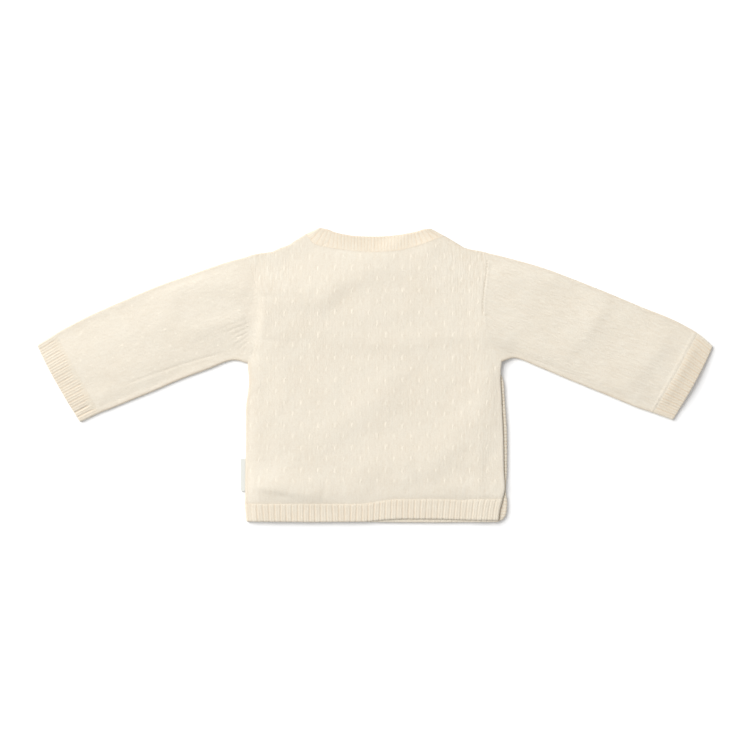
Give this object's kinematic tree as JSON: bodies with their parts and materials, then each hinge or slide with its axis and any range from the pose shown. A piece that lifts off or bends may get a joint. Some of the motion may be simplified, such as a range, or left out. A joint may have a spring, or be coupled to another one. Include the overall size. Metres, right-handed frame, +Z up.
{
  "type": "baby cardigan",
  "caption": "Baby's crossover knitted cardigan laid flat with its back up: ribbed neck band, hem and cuffs, long set-in sleeves, front band along one side.",
  "frame": {"origin": "middle of the garment's footprint, on the surface that it lies on", "axes": "+X along the sleeves, to the wearer's right; +Y up the body, to the neck; +Z up, from the surface through the fronts to the back"},
  "size_m": [0.6268, 0.2734, 0.008],
  "materials": {
    "knit": "fine cotton knit, off-white, matt with a soft nap",
    "rib": "ribbed cotton knit, off-white, matt",
    "button": "flat sewn button, satin cream",
    "label": "woven tape, plain white"
  },
  "bodies": {
    "root": {"back": "knit", "back_hem_rib": "rib", "front_outer": "knit", "front_outer_hem_rib": "rib", "front_band_outer": "rib", "front_inner": "knit", "front_inner_hem_rib": "rib", "front_band_inner": "rib", "neck_band": "rib", "sleeve_left": "knit", "sleeve_right": "knit", "cuff_left": "rib", "cuff_right": "rib", "button_1": "button", "button_2": "button", "button_3": "button", "side_label": "label"}
  },
  "joints": []
}
